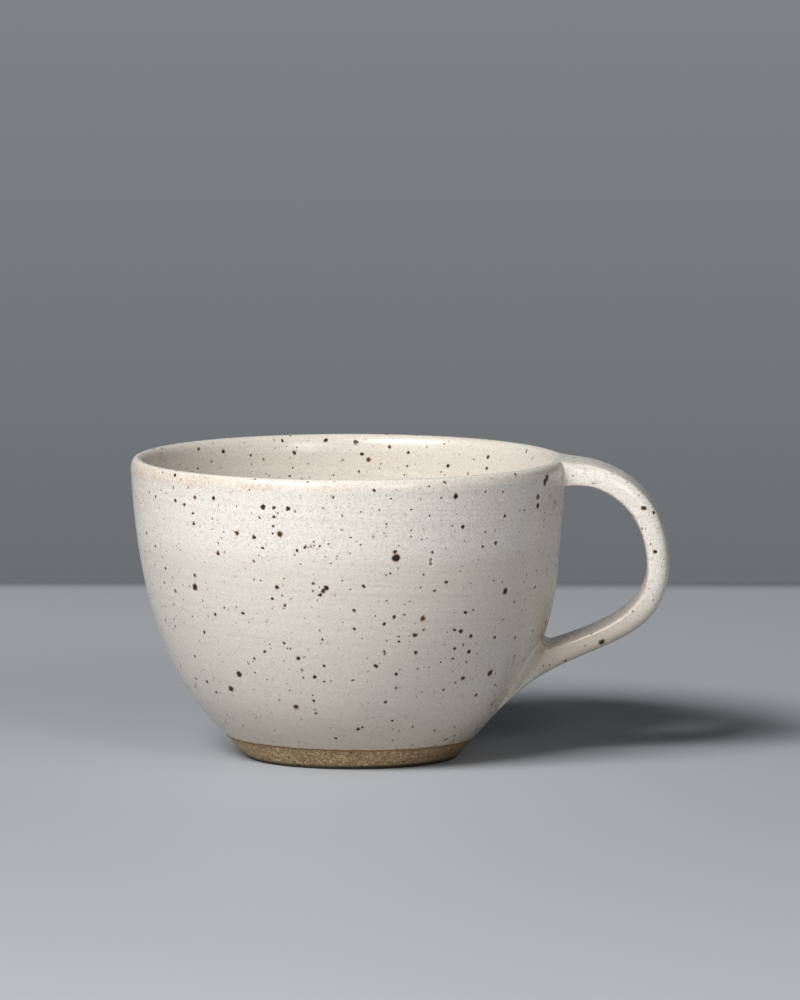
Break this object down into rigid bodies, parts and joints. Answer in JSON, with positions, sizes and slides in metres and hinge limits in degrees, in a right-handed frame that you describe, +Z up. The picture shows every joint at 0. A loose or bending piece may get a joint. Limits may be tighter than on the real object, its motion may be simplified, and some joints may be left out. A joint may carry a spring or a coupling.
{
  "type": "ceramic cup",
  "caption": "Wheel-thrown stoneware cup with a rounded bowl, a bare clay foot band and a pulled strap handle, glazed off-white with iron speckle.",
  "frame": {"origin": "centre of the foot, on the surface that the cup stands on", "axes": "+Z up the axis of the bowl, +X out through the middle of the handle"},
  "size_m": [0.1362, 0.11, 0.0762],
  "materials": {
    "speckled_glaze": "satin off-white glaze with brown iron specks over sandy clay"
  },
  "bodies": {
    "root": {"cup": "speckled_glaze"}
  },
  "joints": []
}
